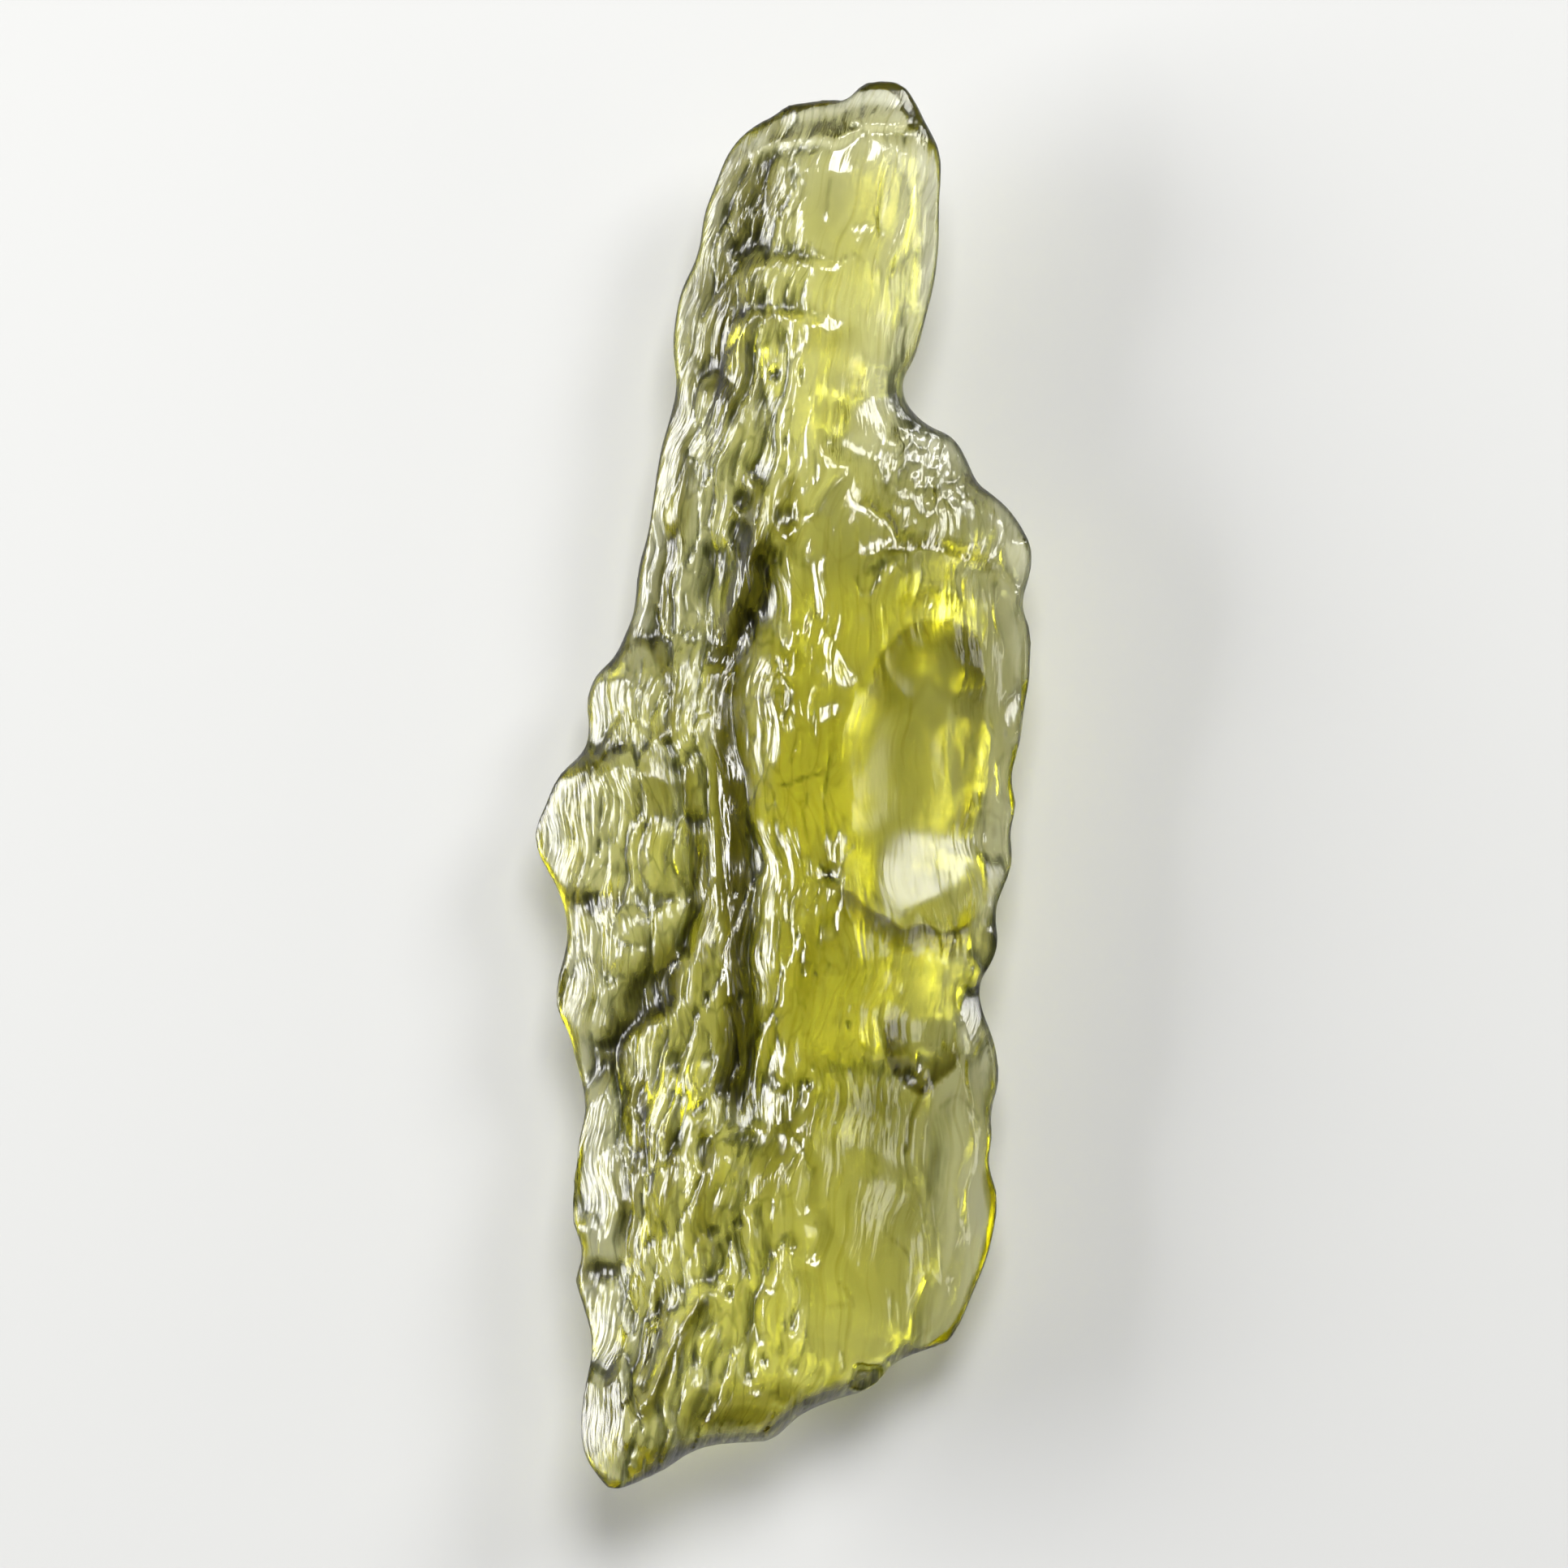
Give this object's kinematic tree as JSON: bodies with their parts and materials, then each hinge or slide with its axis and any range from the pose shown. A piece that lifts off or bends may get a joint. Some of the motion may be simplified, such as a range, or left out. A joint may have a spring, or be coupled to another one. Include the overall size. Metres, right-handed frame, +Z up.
{
  "type": "moldavite",
  "caption": "Long, thin natural blade of clear yellow-green glass with a fluted, pitted face, scalloped edges and a narrow neck, lying flat on its back.",
  "frame": {"origin": "below the middle of the stone's bounding box, on the surface that it rests on", "axes": "+Y along the blade towards its narrow neck, +X across it to the right seen from above, +Z up out of the fluted face"},
  "size_m": [0.0149, 0.0418, 0.0059],
  "materials": {
    "moldavite_glass": "clear yellow-green natural glass with an etched, fluted surface"
  },
  "bodies": {
    "root": {"moldavite": "moldavite_glass"}
  },
  "joints": []
}
